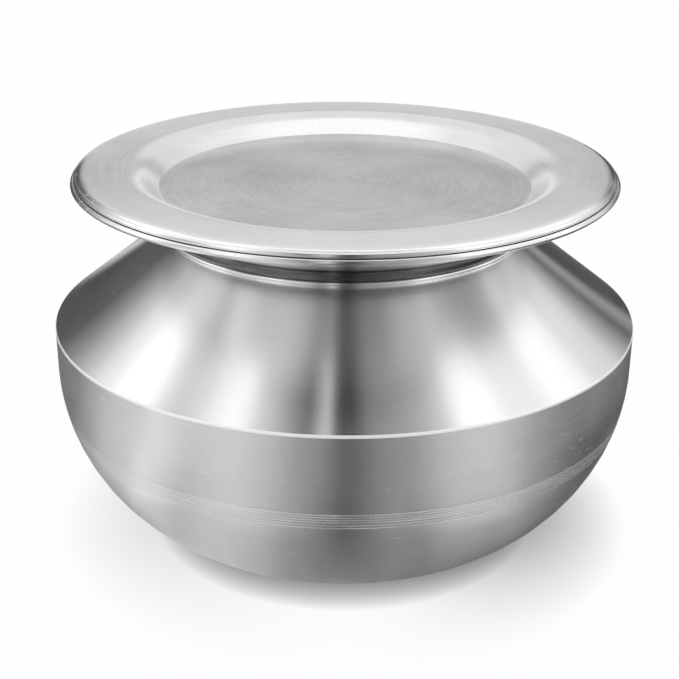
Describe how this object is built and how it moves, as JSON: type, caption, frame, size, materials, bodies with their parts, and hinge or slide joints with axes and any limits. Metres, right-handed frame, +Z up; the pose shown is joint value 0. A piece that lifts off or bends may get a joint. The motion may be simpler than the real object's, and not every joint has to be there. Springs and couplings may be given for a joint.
{
  "type": "cooking pot with lid",
  "caption": "Round-bellied spun aluminium cooking pot with a conical shoulder, narrow neck and wide flared lip, closed by a loose flat lid with a sunk centre.",
  "frame": {"origin": "centre of the flat base, on the surface that the pot stands on", "axes": "+Z up along the pot's and the lid's common axis of turning"},
  "size_m": [0.28, 0.28, 0.1851],
  "materials": {
    "pot_aluminium": "turned: bright polished shoulder and lip, satin bowl with fine scribed rings",
    "lid_aluminium": "light satin with fine round brush marks and small scratches"
  },
  "bodies": {
    "pot": {"pot": "pot_aluminium"},
    "lid": {"lid": "lid_aluminium"}
  },
  "joints": [
    {"name": "lid_lift", "type": "slide", "parent": "pot", "child": "lid", "axis": [0, 0, 1], "range_m": [0, 0.25]}
  ]
}
